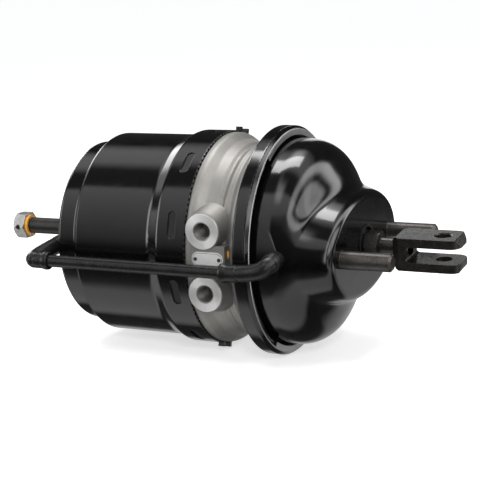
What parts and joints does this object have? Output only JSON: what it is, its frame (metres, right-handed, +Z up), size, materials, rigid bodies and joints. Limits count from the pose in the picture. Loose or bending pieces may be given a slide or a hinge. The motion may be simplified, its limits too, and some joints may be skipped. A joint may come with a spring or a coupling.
{
  "type": "air brake chamber",
  "caption": "Combined diaphragm service chamber and spring brake with a forked push rod, clamp ring, cast air flange, breather tube and a wound-out release bolt.",
  "frame": {"origin": "centre of the flat mounting face between the two studs, on the push rod's axis", "axes": "+X along the push rod, out of the chamber; +Z up; the two ports face -Y"},
  "size_m": [0.4645, 0.2468, 0.21],
  "materials": {
    "black_paint": "gloss black enamel over pressed steel",
    "cast_aluminium": "as cast, fine satin grain, machined port faces",
    "plate_aluminium": "bare matt plate",
    "phosphate_steel": "dark phosphate",
    "zinc_steel": "zinc plated",
    "orange_ring": "orange-yellow coating",
    "spring_steel": "shot-peened, dark",
    "cast_piston": "die cast",
    "black_plastic": "moulded",
    "black_rubber": "moulded"
  },
  "bodies": {
    "chamber": {"spring_housing": "black_paint", "service_housing": "black_paint", "clamp_ring": "black_paint", "flange_body": "cast_aluminium", "nameplate": "plate_aluminium", "nameplate_rivets": "plate_aluminium", "mounting_studs": "phosphate_steel", "clamp_bolt": "zinc_steel", "clamp_nut": "zinc_steel", "release_boss": "zinc_steel", "piston_tube": "zinc_steel", "seal_retainer": "zinc_steel", "power_spring": "spring_steel", "return_spring": "spring_steel", "spring_piston": "cast_piston", "tube_end_cap": "black_plastic", "flange_bush": "black_plastic", "piston_guide_ring": "black_plastic", "breather_tube": "black_plastic", "dust_guard": "black_rubber", "diaphragm": "black_rubber", "rod_seal": "black_rubber", "housing_o_ring": "black_rubber", "piston_seal": "black_rubber", "front_elbow": "black_rubber", "rear_elbow": "black_rubber"},
    "pushrod": {"push_plate": "zinc_steel", "push_rod": "phosphate_steel", "lock_nut": "phosphate_steel", "clevis": "phosphate_steel"},
    "release_carrier": {"release_washer": "orange_ring"},
    "release_bolt": {"release_bolt": "zinc_steel", "release_head": "zinc_steel", "release_pin": "zinc_steel", "release_thrust_washer": "zinc_steel"}
  },
  "joints": [
    {"name": "pushrod_slide", "type": "slide", "parent": "chamber", "child": "pushrod", "axis": [1, 0, 0], "range_m": [0, 0.064], "stiffness_N_per_m": 1500, "springref_m": -0.06, "deforming": ["return_spring", "diaphragm"]},
    {"name": "release_travel", "type": "slide", "parent": "chamber", "child": "release_carrier", "axis": [1, 0, 0], "range_m": [0, 0.064]},
    {"name": "release_spin", "type": "hinge", "parent": "release_carrier", "child": "release_bolt", "pos_m": [-0.37, 0, 0], "axis": [1, 0, 0], "range_deg": [0, 11520]}
  ],
  "couplings": [
    {"joint": "release_spin", "follows": "release_travel", "rad_per_m": 3141.6}
  ]
}
